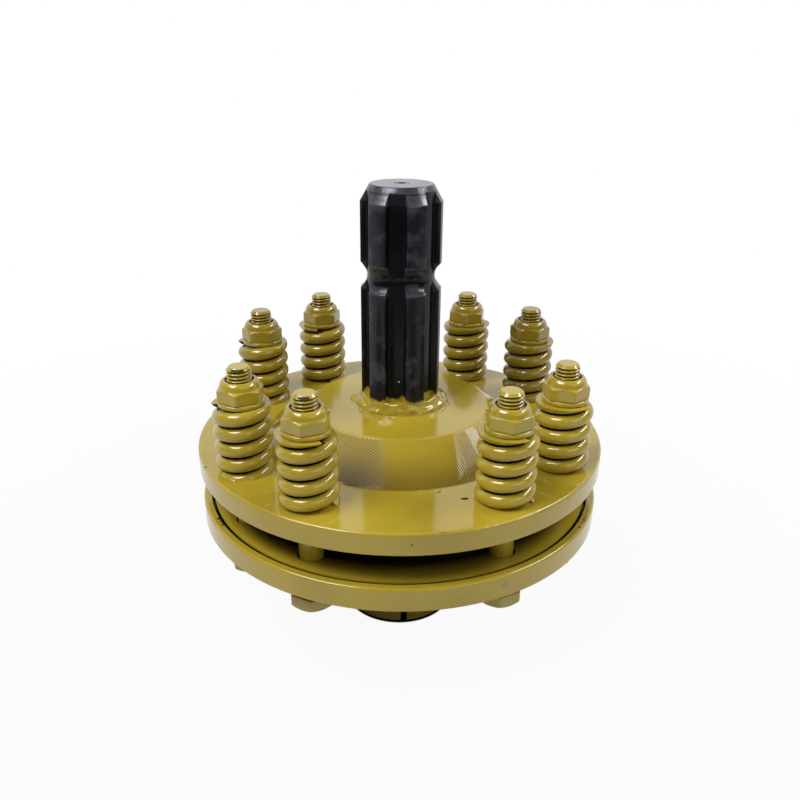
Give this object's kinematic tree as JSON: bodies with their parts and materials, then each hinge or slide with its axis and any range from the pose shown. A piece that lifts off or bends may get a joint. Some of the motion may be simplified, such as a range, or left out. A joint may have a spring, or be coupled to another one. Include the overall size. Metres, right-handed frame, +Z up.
{
  "type": "torque limiter",
  "caption": "Friction torque limiter: a splined stub shaft on a conical flange, clamped by spring-loaded bolts to a round housing, with a slipping disc on a splined output sleeve between them.",
  "frame": {"origin": "centre of the output sleeve's lower end, which the part stands on", "axes": "+Z up along the axis of rotation, towards the free end of the stub shaft"},
  "size_m": [0.183, 0.183, 0.2023],
  "materials": {
    "paint": "gloss olive paint",
    "disc_steel": "dull dark steel",
    "shaft_steel": "black oxide, lightly oiled",
    "lining": "moulded friction lining",
    "bronze": "turned bronze",
    "insert": "dark locking insert"
  },
  "bodies": {
    "output": {"output_sleeve": "paint", "drive_disc": "disc_steel", "lower_lining": "lining", "upper_lining": "lining"},
    "housing": {"rear_housing": "paint", "backing_disc": "paint", "sleeve_bush": "bronze", "bolt_1": "paint", "bolt_2": "paint", "bolt_3": "paint", "bolt_4": "paint", "bolt_5": "paint", "bolt_6": "paint", "bolt_7": "paint", "bolt_8": "paint", "spring_1": "paint", "spring_2": "paint", "spring_3": "paint", "spring_4": "paint", "spring_5": "paint", "spring_6": "paint", "spring_7": "paint", "spring_8": "paint", "washer_1": "paint", "washer_2": "paint", "washer_3": "paint", "washer_4": "paint", "washer_5": "paint", "washer_6": "paint", "washer_7": "paint", "washer_8": "paint", "lock_nut_1": "paint", "lock_nut_2": "paint", "lock_nut_3": "paint", "lock_nut_4": "paint", "lock_nut_5": "paint", "lock_nut_6": "paint", "lock_nut_7": "paint", "lock_nut_8": "paint", "nut_insert_1": "insert", "nut_insert_2": "insert", "nut_insert_3": "insert", "nut_insert_4": "insert", "nut_insert_5": "insert", "nut_insert_6": "insert", "nut_insert_7": "insert", "nut_insert_8": "insert"},
    "input": {"input_flange": "paint", "splined_shaft": "shaft_steel", "weld_bead": "paint"}
  },
  "joints": [
    {"name": "slip", "type": "hinge", "parent": "output", "child": "housing", "pos_m": [0, 0, 0], "axis": [0, 0, 1], "continuous": true},
    {"name": "plate_float", "type": "slide", "parent": "housing", "child": "input", "axis": [0, 0, 1], "range_m": [0, 0.002], "stiffness_N_per_m": 20000, "springref_m": -0.004, "deforming": ["spring_1", "spring_2", "spring_3", "spring_4", "spring_5", "spring_6", "spring_7", "spring_8"]}
  ]
}
